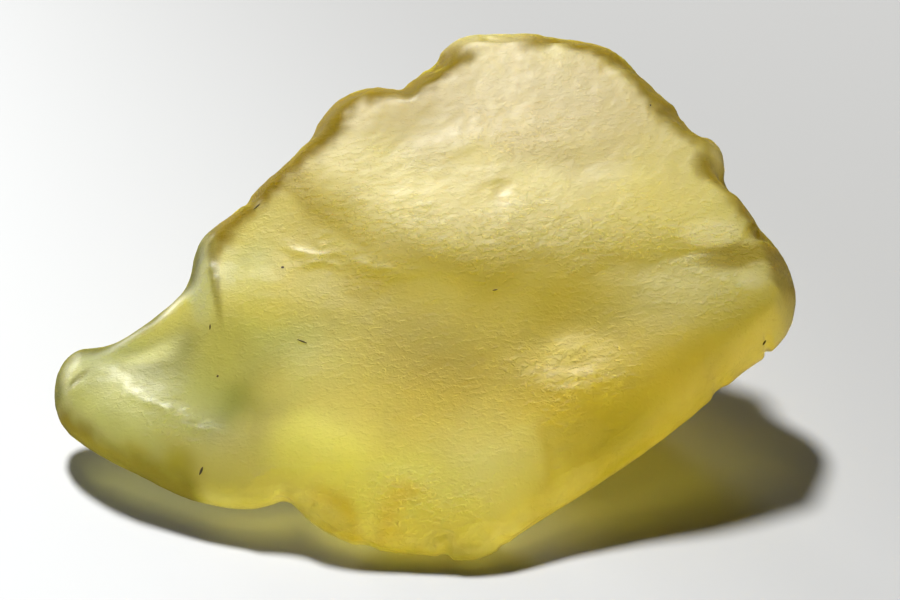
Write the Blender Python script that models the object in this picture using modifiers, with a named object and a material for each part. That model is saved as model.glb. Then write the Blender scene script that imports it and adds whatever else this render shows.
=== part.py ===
"""A chip of natural yellow desert glass, one solid piece worn smooth by wind and sand.

Metres, +Z up. The chip lies against the ground on the flat of its keel and on its lower edge,
with its broad face leaning back and turned to -Y. It is shaped in a frame of its own, in
millimetres: x to the right, y up the broad face, z out of it, with the lower edge near y = 0.
The frame is then leaned back and set down, and the ground plane cuts the resting flats.
"""

import math
from typing import NamedTuple

import bmesh
import bpy
import numpy as np
from mathutils import Matrix

MM = 0.001

# Driving dimensions, in millimetres and degrees.
LEAN = 31.0  # slope of the broad face above the ground
GROUND = -0.5  # height of the ground in the leaned frame, which wears the resting flats
EDGE_ROUND = 0.6  # how far the rounding of the edge reaches inwards
EDGE_FRONT = 0.7  # half the edge's thickness towards the broad face
EDGE_BACK = 1.2  # and towards the keel
RIM_WIDTH = 1.5  # width of the steep rim that the face ends in, along the upper edges
RIM_CREASE = 0.06  # rounding of the crease between face and rim, as a share of the width
LOWER_SHOULDER = 5.0  # how far in the face has risen from the edge, along the thin lower edges
CREST = 5.1  # height of the crest that crosses the broad face
PLATE_DEPTH = 6.0  # depth of the back behind the edge at its middle, without the keel
KEEL_HEIGHT = 9.0  # how far the keel stands out of the back
GRAIN = 0.4  # size of the even mesh's faces before it is thinned
MOST_TRIANGLES = 7000

# Above this line, in y along x, the edge has the steep rim; below it, the rim fades out.
UPPER_FROM = 16.5
UPPER_SLOPE = 0.13
UPPER_FADE = 5.0

# The arm at the left bends back out of the face's plane, from this x on.
ARM_BEND_FROM = -9.5
ARM_BEND = 0.009

# The edge, seen square to the broad face, clockwise from the tip of the arm.
OUTLINE = (
    (-29.4, 13.1), (-29.3, 15.5), (-28.0, 17.1), (-25.2, 17.2), (-22.2, 18.9), (-19.9, 21.0),
    (-18.8, 25.1), (-17.3, 26.4), (-14.6, 29.0), (-11.5, 32.4), (-8.6, 36.7), (-6.3, 37.9),
    (-4.1, 37.6), (-2.0, 39.4), (0.4, 42.0), (2.0, 42.6), (6.1, 42.6), (10.9, 41.8),
    (13.4, 40.7), (15.1, 38.4), (17.3, 36.1), (18.5, 34.0), (20.5, 32.9), (21.1, 29.8),
    (23.1, 26.0), (24.6, 24.0), (25.7, 20.3), (24.7, 16.9), (21.1, 13.8), (16.4, 9.7),
    (10.7, 5.5), (5.3, 2.0), (2.8, 0.2), (1.0, -0.2), (-1.3, 0.2), (-4.7, 0.5), (-7.8, 1.4),
    (-10.1, 2.8), (-11.4, 4.1), (-14.3, 3.7), (-18.6, 4.6), (-22.0, 6.4), (-26.7, 9.3),
    (-28.6, 11.1),
)  # fmt: skip


class Plane(NamedTuple):
    """One worn flat: its height at the point (x, y), and how it rises along x and y."""

    x: float
    y: float
    height: float
    rise_x: float
    rise_y: float


class Swell(NamedTuple):
    """A soft mound, or a hollow if its height is negative, of radii along and across."""

    x: float
    y: float
    along: float
    across: float
    height: float
    turn: float = 0.0


# The broad face: three flats above the crest, and two below it.
CREST_LEFT = (-2.2, 22.2)
CREST_RIGHT = (2.2, 21.9)
FACE_PLANES = (
    Plane(*CREST_RIGHT, CREST, 0.0, -0.175),  # up to the top
    Plane(*CREST_RIGHT, CREST, 0.05, -0.105),  # up to the left
    Plane(12.0, 22.5, CREST, -0.09, -0.10),  # up to the right
    Plane(*CREST_RIGHT, CREST, -0.015, 0.14),  # down to the lower edge
    Plane(*CREST_LEFT, CREST - 0.15, 0.17, 0.06),  # down to the arm
)
FACE_SOFTNESS = 0.42
FACE_SWELLS = (
    Swell(-23.5, 9.6, 6.0, 3.8, 1.2, -27.0),  # ridge along the arm
    Swell(-30.0, 12.5, 9.0, 6.0, 1.6),  # thick tip of the arm
    Swell(-27.4, 13.6, 2.2, 2.2, 0.4, -30.0),  # knuckle on it
    Swell(-17.6, 19.6, 4.4, 1.4, 0.5, -83.0),  # ridge that runs down from the left shoulder
    Swell(-15.6, 12.0, 2.8, 3.4, -0.8, -20.0),  # hollow where the arm meets the body
    Swell(-14.8, 18.6, 3.6, 3.4, 0.75, -12.0),  # mound under the left shoulder
    Swell(-9.0, 17.4, 3.8, 2.8, 0.45, -30.0),  # mound beside it
    Swell(-10.8, 12.8, 5.0, 2.8, 0.5),  # mound below them
    Swell(16.5, 20.7, 5.2, 1.5, -0.25, 3.0),  # groove below the right shoulder
    Swell(18.0, 13.6, 6.0, 4.8, 0.9, 8.0),  # mound at the right-hand end
    Swell(8.7, 15.6, 3.0, 2.6, -0.55),  # round dimple
    Swell(8.8, 11.2, 3.4, 1.8, 0.3),  # its lower lip
    Swell(3.6, 26.8, 1.0, 1.0, -0.12),  # small round dimple
    Swell(-8.5, 7.0, 5.0, 3.6, 0.7, -20.0),  # swell above the lower edge
    Swell(2.0, 5.0, 4.0, 3.0, 0.4),  # swell over the lowest edge
)
RIM_SWELLS = (
    Swell(-3.2, 38.4, 2.6, 2.6, 0.9),  # where the rim is wider
    Swell(20.5, 31.5, 2.0, 2.0, 0.3),
    Swell(24.5, 21.5, 3.0, 3.0, 0.8),
    Swell(-15.5, 27.0, 2.5, 2.5, 0.2),
)
SHOULDER_SWELLS = (Swell(-25.0, 8.5, 7.0, 4.5, -2.6, -27.0),)  # where the lower edge is steeper

# The back: shallow flats, with the keel standing out of them. Heights here are depths.
BACK_MIDDLE = (4.0, 21.0)
BACK_PLANES = (
    Plane(*BACK_MIDDLE, PLATE_DEPTH, 0.00, 0.22),  # down to the lower edge
    Plane(*BACK_MIDDLE, PLATE_DEPTH, 0.04, -0.22),  # up to the top
    Plane(*BACK_MIDDLE, PLATE_DEPTH + 0.6, -0.18, -0.04),  # right-hand end
    Plane(*BACK_MIDDLE, PLATE_DEPTH + 0.3, 0.19, 0.00),  # arm
    Plane(*BACK_MIDDLE, PLATE_DEPTH + 0.6, -0.15, -0.18),  # upper right
    Plane(*BACK_MIDDLE, PLATE_DEPTH + 0.5, -0.21, 0.20),  # lower right
)
BACK_SOFTNESS = 0.5
BACK_SWELLS = (
    Swell(4.0, 21.6, 9.0, 5.0, KEEL_HEIGHT, -4.0),  # keel
    Swell(-12.0, 20.0, 4.0, 3.0, -0.9, 40.0),  # scallops along the keel's flanks
    Swell(15.5, 26.5, 5.0, 3.2, -1.2, -25.0),
    Swell(5.0, 31.5, 6.0, 3.4, -0.9, 10.0),
    Swell(-3.0, 9.0, 7.0, 3.6, -0.6),
    Swell(12.0, 12.5, 4.5, 3.0, -0.6, 35.0),
    Swell(-18.0, 12.0, 4.0, 3.0, -0.4, -20.0),
)

GLASS_COLOUR = (0.72, 0.66, 0.22, 1.0)
GLASS_IOR = 1.46
GLASS_ROUGHNESS = 0.35


def clear_scene():
    for obj in list(bpy.data.objects):
        bpy.data.objects.remove(obj, do_unlink=True)


def make_glass():
    """Pale yellow glass with a sand-worn, frosted surface."""
    material = bpy.data.materials.new("desert_glass")
    material.use_nodes = True
    shader = material.node_tree.nodes["Principled BSDF"]
    shader.inputs["Base Color"].default_value = GLASS_COLOUR
    shader.inputs["Roughness"].default_value = GLASS_ROUGHNESS
    shader.inputs["IOR"].default_value = GLASS_IOR
    shader.inputs["Transmission Weight"].default_value = 1.0
    material.diffuse_color = GLASS_COLOUR
    return material


def evaluated_mesh(obj):
    """The object's mesh with its modifiers applied, as a new mesh."""
    bpy.context.view_layer.update()
    graph = bpy.context.evaluated_depsgraph_get()
    return bpy.data.meshes.new_from_object(obj.evaluated_get(graph))


def outline_slab(collection):
    """A flat slab inside the outline, its edge rounded by EDGE_ROUND on both sides."""
    curve = bpy.data.curves.new("outline", "CURVE")
    curve.dimensions = "2D"
    curve.fill_mode = "BOTH"
    curve.resolution_u = 6
    curve.bevel_depth = EDGE_ROUND * MM
    curve.bevel_resolution = 3
    curve.offset = -EDGE_ROUND * MM
    spline = curve.splines.new("BEZIER")
    spline.bezier_points.add(len(OUTLINE) - 1)
    for point, (x, y) in zip(spline.bezier_points, OUTLINE):
        point.co = (x * MM, y * MM, 0.0)
        point.handle_left_type = point.handle_right_type = "AUTO"
    spline.use_cyclic_u = True
    guide = bpy.data.objects.new("outline", curve)
    collection.objects.link(guide)
    mesh = evaluated_mesh(guide)
    bpy.data.objects.remove(guide, do_unlink=True)
    shape = bmesh.new()
    shape.from_mesh(mesh)
    bmesh.ops.remove_doubles(shape, verts=shape.verts, dist=0.01 * MM)
    shape.to_mesh(mesh)
    shape.free()
    return mesh


def soft_least(values, softness):
    """The least of several fields, rounded over where two of them meet."""
    stack = np.stack(values) / softness
    least = stack.min(axis=0)
    return softness * (least - np.log(np.exp(least - stack).sum(axis=0)))


def plane_height(plane, x, y):
    return plane.height + plane.rise_x * (x - plane.x) + plane.rise_y * (y - plane.y)


def swell_height(swell, x, y):
    turn = math.radians(swell.turn)
    dx, dy = x - swell.x, y - swell.y
    along = (dx * math.cos(turn) + dy * math.sin(turn)) / swell.along
    across = (dy * math.cos(turn) - dx * math.sin(turn)) / swell.across
    return swell.height * np.exp(-(along**2) - across**2)


def relief(planes, softness, swells, x, y):
    """Height of a worn side over the edge's plane: flats rounded together, plus its swells."""
    height = soft_least([plane_height(plane, x, y) for plane in planes], softness)
    return height + sum(swell_height(swell, x, y) for swell in swells)


def edge_distance(x, y):
    """Distance of each point from the outline."""
    nearest = np.full(len(x), np.inf)
    for (ax, ay), (bx, by) in zip(OUTLINE, OUTLINE[1:] + OUTLINE[:1]):
        run_x, run_y = bx - ax, by - ay
        along = ((x - ax) * run_x + (y - ay) * run_y) / (run_x**2 + run_y**2)
        along = np.clip(along, 0.0, 1.0)
        away = np.hypot(x - ax - along * run_x, y - ay - along * run_y)
        nearest = np.minimum(nearest, away)
    return nearest


def rise(distance, x, y):
    """How far a side has risen from the edge's height to its own, from 0 at the edge to 1."""
    upper = np.clip((y - UPPER_FROM - UPPER_SLOPE * x) / UPPER_FADE + 1.0, 0.0, 1.0)
    width = RIM_WIDTH + sum(swell_height(swell, x, y) for swell in RIM_SWELLS)
    rim = soft_least([distance / width, np.ones_like(x)], RIM_CREASE)
    rim = np.clip(rim, 0.0, 1.0)
    reach = LOWER_SHOULDER + sum(swell_height(swell, x, y) for swell in SHOULDER_SWELLS)
    shoulder = np.sqrt(1.0 - (1.0 - np.clip(distance / reach, 0.0, 1.0)) ** 2)
    return shoulder + (rim - shoulder) * upper


def front_height(x, y, distance):
    """Height of the broad face over the edge's plane."""
    face = relief(FACE_PLANES, FACE_SOFTNESS, FACE_SWELLS, x, y)
    return EDGE_FRONT + np.maximum(face - EDGE_FRONT, 0.0) * rise(distance, x, y)


def back_depth(x, y, distance):
    """Depth of the back under the edge's plane."""
    back = relief(BACK_PLANES, BACK_SOFTNESS, BACK_SWELLS, x, y)
    return EDGE_BACK + np.maximum(back - EDGE_BACK, 0.0) * rise(distance, x, y)


def arm_bend(x):
    """How far the arm drops out of the face's plane."""
    return ARM_BEND * np.maximum(ARM_BEND_FROM - x, 0.0) ** 2


def shape_chip(mesh):
    """Raises the slab's two sides to the relief of the broad face and of the back."""
    points = np.empty(len(mesh.vertices) * 3)
    mesh.vertices.foreach_get("co", points)
    points = points.reshape(-1, 3) / MM
    x, y = points[:, 0], points[:, 1]
    side = np.clip(points[:, 2] / EDGE_ROUND, -1.0, 1.0)
    distance = edge_distance(x, y)
    height = np.where(side > 0.0, front_height(x, y, distance), back_depth(x, y, distance))
    points[:, 2] = side * height - arm_bend(x)
    mesh.vertices.foreach_set("co", (points * MM).ravel())
    mesh.update()


def evened(obj):
    """Gives the object one closed surface of small even faces."""
    even = obj.modifiers.new("Even", "REMESH")
    even.mode = "VOXEL"
    even.voxel_size = GRAIN * MM
    smooth = obj.modifiers.new("Smooth", "SMOOTH")
    smooth.iterations = 3
    obj.data = evaluated_mesh(obj)
    obj.modifiers.clear()


def thinned(obj):
    """Thins the object's mesh to the triangles allowed."""
    thin = obj.modifiers.new("Thin", "DECIMATE")
    thin.ratio = min(1.0, MOST_TRIANGLES / (2.0 * len(obj.data.polygons)))
    obj.data = evaluated_mesh(obj)
    obj.modifiers.clear()


def set_down(mesh):
    """Leans the chip back, wears its flats on the ground and centres it over the origin."""
    mesh.transform(Matrix.Rotation(math.radians(LEAN), 4, "X"))
    shape = bmesh.new()
    shape.from_mesh(mesh)
    cut = bmesh.ops.bisect_plane(
        shape,
        geom=shape.verts[:] + shape.edges[:] + shape.faces[:],
        plane_co=(0.0, 0.0, GROUND * MM),
        plane_no=(0.0, 0.0, 1.0),
        clear_inner=True,
    )
    edges = [item for item in cut["geom_cut"] if isinstance(item, bmesh.types.BMEdge)]
    bmesh.ops.holes_fill(shape, edges=edges)
    bmesh.ops.triangulate(shape, faces=shape.faces[:])
    low = [min(vertex.co[axis] for vertex in shape.verts) for axis in range(3)]
    high = [max(vertex.co[axis] for vertex in shape.verts) for axis in range(3)]
    centre = ((low[0] + high[0]) / 2, (low[1] + high[1]) / 2, low[2])
    bmesh.ops.translate(shape, verts=shape.verts, vec=[-value for value in centre])
    shape.to_mesh(mesh)
    shape.free()


def main():
    clear_scene()
    collection = bpy.data.collections.new("libyan_desert_glass")
    bpy.context.scene.collection.children.link(collection)
    chip = bpy.data.objects.new("desert_glass", outline_slab(collection))
    collection.objects.link(chip)
    evened(chip)
    shape_chip(chip.data)
    evened(chip)
    thinned(chip)
    set_down(chip.data)
    chip.data.shade_smooth()
    chip.data.materials.clear()
    chip.data.materials.append(make_glass())


main()
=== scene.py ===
"""Looks of one chip of natural yellow desert glass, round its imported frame.

The chip's own solid gives the shape. Here it gets a fine surface with the ridges, dimples, scars
and wind grain of the real one, frosted glass that colours light by its thickness, the dust that
sticks to it and the specks sealed in it. Metres throughout, except in the face's own frame, which
is in millimetres: x to the right, y up the broad face, z out of it.
"""

import logging
import math
from collections.abc import Callable
from dataclasses import dataclass, field
from enum import Enum
from typing import Any

import bmesh
import bpy
import numpy as np
from mathutils import Matrix, Vector, noise
from mathutils.bvhtree import BVHTree


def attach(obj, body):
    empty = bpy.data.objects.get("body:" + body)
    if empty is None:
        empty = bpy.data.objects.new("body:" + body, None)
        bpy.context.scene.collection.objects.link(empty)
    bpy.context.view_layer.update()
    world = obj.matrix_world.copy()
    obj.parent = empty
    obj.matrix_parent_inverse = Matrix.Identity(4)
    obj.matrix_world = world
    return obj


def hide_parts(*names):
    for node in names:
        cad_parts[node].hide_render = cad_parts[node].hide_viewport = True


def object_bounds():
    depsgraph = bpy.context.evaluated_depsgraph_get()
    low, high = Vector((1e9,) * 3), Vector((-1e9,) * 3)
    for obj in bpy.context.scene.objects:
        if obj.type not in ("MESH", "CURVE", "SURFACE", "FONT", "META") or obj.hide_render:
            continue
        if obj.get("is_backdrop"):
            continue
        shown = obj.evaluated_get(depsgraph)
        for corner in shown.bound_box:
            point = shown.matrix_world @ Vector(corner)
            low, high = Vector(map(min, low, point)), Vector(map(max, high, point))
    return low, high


LOG = logging.getLogger("desert_glass")
MM = 0.001
NODE = "desert_glass"
BODY = "root"
TONE = "tone"  # attribute: the glass's colour point by point, with painted shade, highlights and glow
CRINKLE = "crinkle"  # attribute: how wrinkled the surface is
EDGE = "edge"  # attribute: 1 on the steep edges, where the skin is dull
NOWHERE = 1e-6  # shorter than any real direction
Array = np.ndarray
Range = tuple[float, float]
Triple = tuple[float, float, float]
Paint = tuple[float, float, float, float]


def operators(operation: str) -> tuple[Callable[..., "Value"], Callable[..., "Value"]]:
    """Makes the two methods of Value for one operator.

    Args:
        operation: what their Math node does.

    Returns:
        The operator and its reflected form.
    """

    def forward(self: "Value", other: Any) -> "Value":
        """self, then other."""
        sockets = {0: self, 1: other}
        return self.nodes.add("ShaderNodeMath", {"operation": operation}, sockets)[0]

    def reflected(self: "Value", other: Any) -> "Value":
        """other, then self."""
        sockets = {0: other, 1: self}
        return self.nodes.add("ShaderNodeMath", {"operation": operation}, sockets)[0]

    return forward, reflected


@dataclass(frozen=True)
class Value:
    """A shader or geometry socket that adds Math nodes when it is used in an expression."""

    nodes: "Nodes"
    socket: bpy.types.NodeSocket

    __add__, __radd__ = operators("ADD")
    __sub__, __rsub__ = operators("SUBTRACT")
    __mul__, __rmul__ = operators("MULTIPLY")
    __truediv__, __rtruediv__ = operators("DIVIDE")
    __pow__, __rpow__ = operators("POWER")


@dataclass(frozen=True)
class Nodes:
    """Makes the nodes of one tree and links their sockets."""

    tree: bpy.types.NodeTree

    def add(self, kind: str, settings: dict[str, Any], sockets: dict[Any, Any]) -> "Outputs":
        """Adds a node, sets its options, then sets or links its sockets.

        Args:
            kind: the node's type name.
            settings: its options, set first.
            sockets: a value or an output for each input, by name or place.

        Returns:
            The node's outputs.
        """
        node = self.tree.nodes.new(kind)
        for name, setting in settings.items():
            setattr(node, name, setting)
        for name, value in sockets.items():
            if isinstance(value, Value):
                self.tree.links.new(value.socket, node.inputs[name])
            else:
                node.inputs[name].default_value = value
        return Outputs(self, node)


@dataclass(frozen=True)
class Outputs:
    """A node's outputs, by name or place."""

    nodes: Nodes
    node: bpy.types.Node

    def __getitem__(self, name: Any) -> Value:
        """The output of that name or place."""
        return Value(self.nodes, self.node.outputs[name])


def shader_nodes(owner: bpy.types.Material | bpy.types.World) -> Nodes:
    """Clears the tree of a material or a world and returns its node maker.

    Args:
        owner: the material or world to build.

    Returns:
        A maker for its nodes.
    """
    owner.use_nodes = True
    owner.node_tree.nodes.clear()
    return Nodes(owner.node_tree)


def new_geometry_tree(
    name: str, inputs: dict[str, str]
) -> tuple[bpy.types.NodeTree, Nodes, Outputs]:
    """Starts a Geometry Nodes tree with a geometry input and output and these further inputs.

    Args:
        name: the tree's name.
        inputs: the socket type of each further input, by name.

    Returns:
        The tree, its node maker and its inputs.
    """
    tree = bpy.data.node_groups.new(name, "GeometryNodeTree")
    tree.interface.new_socket("Geometry", in_out="INPUT", socket_type="NodeSocketGeometry")
    tree.interface.new_socket("Geometry", in_out="OUTPUT", socket_type="NodeSocketGeometry")
    for label, kind in inputs.items():
        tree.interface.new_socket(label, in_out="INPUT", socket_type=kind)
    nodes = Nodes(tree)
    return tree, nodes, nodes.add("NodeGroupInput", {}, {})


def end_geometry_tree(nodes: Nodes, shape: Value, material: Value) -> None:
    """Ends a tree in Realize Instances and Set Material.

    Args:
        nodes: the tree's node maker.
        shape: the geometry to end with.
        material: the material for it.
    """
    real = nodes.add("GeometryNodeRealizeInstances", {}, {0: shape})
    dressed = nodes.add("GeometryNodeSetMaterial", {}, {"Geometry": real[0], "Material": material})
    nodes.add("NodeGroupOutput", {}, {0: dressed[0]})


def run_tree(obj: bpy.types.Object, tree: bpy.types.NodeTree, values: dict[str, Any]) -> None:
    """Runs a Geometry Nodes tree on an object and leaves it a plain mesh.

    Args:
        obj: the object.
        tree: the tree.
        values: what its inputs get, by name.
    """
    modifier = obj.modifiers.new(tree.name, "NODES")
    modifier.node_group = tree
    for socket in tree.interface.items_tree:
        if socket.in_out == "INPUT" and socket.name in values:
            modifier[socket.identifier] = values[socket.name]
    obj.data = plain_mesh(obj)
    obj.modifiers.clear()


def plain_mesh(obj: bpy.types.Object) -> bpy.types.Mesh:
    """The object's mesh with its modifiers applied.

    Args:
        obj: an object with modifiers.

    Returns:
        A new mesh.
    """
    bpy.context.view_layer.update()
    graph = bpy.context.evaluated_depsgraph_get()
    return bpy.data.meshes.new_from_object(obj.evaluated_get(graph))


def store_values(mesh: bpy.types.Mesh, name: str, values: Array) -> None:
    """Stores one value for each point of a mesh as an attribute."""
    made = mesh.attributes.new(name, "FLOAT", "POINT")
    made.data.foreach_set("value", values.astype(np.float32))


def linked_object(name: str, data: bpy.types.ID) -> bpy.types.Object:
    """Puts a new object in the scene.

    Args:
        name: its name.
        data: its mesh, light or camera.

    Returns:
        The object.
    """
    made = bpy.data.objects.new(name, data)
    bpy.context.scene.collection.objects.link(made)
    return made


@dataclass(frozen=True)
class FaceFrame:
    """The broad face's own frame, in millimetres, leaned back from the ground."""

    lean: float = 31.0  # degrees
    origin: Triple = (1.93, -18.0, 0.38)  # mm, from the middle of the ground

    def turn(self) -> Array:
        """The rotation from this frame to the world's."""
        return np.array(Matrix.Rotation(math.radians(self.lean), 3, "X"))

    def points(self, world: Array) -> Array:
        """World points, in metres, in this frame."""
        return (world / MM - np.array(self.origin)) @ self.turn()

    def directions(self, world: Array) -> Array:
        """World directions in this frame."""
        return world @ self.turn()

    def world(self, points: Array) -> Array:
        """Points of this frame in the world, in metres."""
        return (points @ self.turn().T + np.array(self.origin)) * MM


FACE = FaceFrame()


def smooth_step(low: float, high: float, values: Array) -> Array:
    """Values taken from 0 at low to 1 at high, smoothly."""
    share = np.clip((values - low) / (high - low), 0.0, 1.0)
    return share * share * (3.0 - 2.0 * share)


def soft_noise(points: Array, size: float) -> Array:
    """One soft random value between -1 and 1 for each point, changing over this size."""
    return np.array([noise.noise(Vector(point) / size) for point in points])


def wander(points: Array, size: float, reach: float, seed: float) -> Array:
    """A soft random shift of each point, which makes the borders of patches uneven.

    Args:
        points: the points, mm.
        size: how far apart the shift changes, mm.
        reach: how far a point goes at most, mm.
        seed: where in the noise it starts, mm.

    Returns:
        The shifts.
    """
    shifts = [soft_noise(points + seed * step, size) for step in (1.0, 2.0, 3.0)]
    return reach * np.stack(shifts, axis=-1)


def blended(under: Array | Triple, over: Array | Triple, share: Array) -> Array:
    """One colour laid over another, by a share for each point."""
    return np.array(under) + (np.array(over) - under) * share[:, None]


def neighbours(grid: Array, corners: bool) -> Array:
    """Finds each cell's neighbours.

    Args:
        grid: the cells.
        corners: whether the four across the corners count too.

    Returns:
        A grid for each direction, holding the neighbour that way.
    """
    steps = [(-1, 0), (1, 0), (0, -1), (0, 1)]
    if corners:
        steps += [(-1, -1), (-1, 1), (1, -1), (1, 1)]
    return np.array([np.roll(grid, step, (0, 1)) for step in steps])


@dataclass(frozen=True)
class Skin:
    """Points of the chip's surface, with their normals, in the face's frame."""

    points: Array
    normals: Array

    def facing(self, reach: Range) -> Array:
        """How squarely each point faces the front, from 0 to 1 over this reach."""
        return smooth_step(*reach, self.normals[:, 2])


@dataclass(frozen=True)
class Outline:
    """Measures how deep points lie inside the outline of the face, on a grid of square cells."""

    cell: float = 0.46  # mm, wider than the fine surface's faces
    steps: int = 8  # how many cells deep it reaches
    facing: float = 0.3  # how squarely a point faces the front to count as the face
    border: int = 2  # empty cells all round, besides the steps
    passes: int = 2  # of filling gaps, and of smoothing
    filled_sides: int = 3  # a cell with this many filled neighbours is filled too

    def filled(self, places: Array, shown: Array) -> Array:
        """Marks the cells that hold the face.

        Args:
            places: each point's place on the grid, in cells.
            shown: which points are on the face.

        Returns:
            The grid, with small gaps filled.
        """
        size = places.max(axis=0).astype(int) + self.steps + self.border + 1
        inside = np.zeros(size, bool)
        inside[tuple(places[shown].astype(int).T)] = True
        for _ in range(self.passes):
            inside |= neighbours(inside, False).sum(axis=0) >= self.filled_sides
        return inside

    def layers(self, inside: Array) -> Array:
        """Eats the grid from its rim.

        Args:
            inside: the cells that hold the face.

        Returns:
            Each cell's depth, in mm, and the way outwards.
        """
        depth = np.zeros(inside.shape)
        for step in range(self.steps):
            depth += inside
            inside = inside & neighbours(inside, step % 2 == 1).all(axis=0)
        for _ in range(self.passes):
            around = neighbours(depth, True)
            depth = (depth + around.sum(axis=0)) / (len(around) + 1)
        return np.stack([depth * self.cell, *np.gradient(-depth)], axis=-1)

    def measure(self, skin: Skin) -> tuple[Array, Array]:
        """Measures each point, seen straight at the face.

        Args:
            skin: the points.

        Returns:
            The depths, mm, and the direction outwards at each point.
        """
        flat = skin.points[:, :2]
        places = (flat - flat.min(axis=0)) / self.cell + self.steps + self.border
        layers = self.layers(self.filled(places, skin.normals[:, 2] > self.facing))
        corner = np.floor(places - 0.5).astype(int)  # a cell's value counts at its middle
        part = (places - 0.5 - corner)[:, :, None]
        (column, row), across, up = corner.T, part[:, 0], part[:, 1]
        left = layers[column, row] * (1.0 - up) + layers[column, row + 1] * up
        right = layers[column + 1, row] * (1.0 - up) + layers[column + 1, row + 1] * up
        found = left * (1.0 - across) + right * across
        length = np.linalg.norm(found[:, 1:], axis=1)
        return found[:, 0], found[:, 1:] / np.maximum(length, NOWHERE)[:, None]


class Kind(Enum):
    """What a mark on the surface looks like."""

    SWELL = "soft mound, or hollow where its height is negative"
    SCAR = "shell-shaped scar with a crisp rim"
    RING = "raised ring round a pit"
    CREASE = "line that is sharp along its middle"


RING_LINE = 0.3  # thickness of a ring's line, as a share of its radius
PIT_DEPTH = 0.7  # of the pit inside a ring, as a share of the ring's height
PIT_SIZE = 0.6
CREASE_POWER = 1.3  # a lower one makes a crease sharper


@dataclass(frozen=True)
class Mark:
    """One mark on the broad face, in the face's frame."""

    kind: Kind
    x: float
    y: float
    along: float
    across: float
    height: float
    turn: float = 0.0  # degrees
    bend: float = 0.0  # how far it curves across, per mm along squared

    def place(self, skin: Skin) -> tuple[Array, Array]:
        """Finds where points lie from the mark.

        Args:
            skin: the points.

        Returns:
            Each one's place along and across the mark, in radii.
        """
        turn = math.radians(self.turn)
        x, y = skin.points[:, 0] - self.x, skin.points[:, 1] - self.y
        run = x * math.cos(turn) + y * math.sin(turn)
        off = y * math.cos(turn) - x * math.sin(turn) - self.bend * run**2
        return run / self.along, off / self.across

    def rise(self, skin: Skin) -> Array:
        """Finds how far the mark lifts points.

        Args:
            skin: the points.

        Returns:
            The lift of each, mm.
        """
        run, off = self.place(skin)
        radius = np.hypot(run, off)
        if self.kind is Kind.SWELL:
            return self.height * np.exp(-(radius**2))
        if self.kind is Kind.SCAR:
            return self.height * np.clip(1.0 - radius**2, 0.0, 1.0)
        if self.kind is Kind.RING:
            pit = PIT_DEPTH * np.exp(-((radius / PIT_SIZE) ** 2))
            return self.height * (np.exp(-(((radius - 1.0) / RING_LINE) ** 2)) - pit)
        return self.height * np.exp(-(run**2)) * np.exp(-np.abs(off) ** CREASE_POWER)


@dataclass(frozen=True)
class Patch:
    """A soft patch of the surface, in the face's frame."""

    x: float
    y: float
    along: float
    across: float
    turn: float = 0.0  # degrees
    share: float = 1.0
    edge: float = 2.0  # power of the falling edge, high for a firm border

    def weight(self, skin: Skin) -> Array:
        """Finds how much of points the patch takes.

        Args:
            skin: the points.

        Returns:
            The share of each.
        """
        shape = Mark(Kind.SWELL, self.x, self.y, self.along, self.across, 1.0, self.turn)
        run, off = shape.place(skin)
        return self.share * np.exp(-(np.hypot(run, off) ** self.edge))


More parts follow.
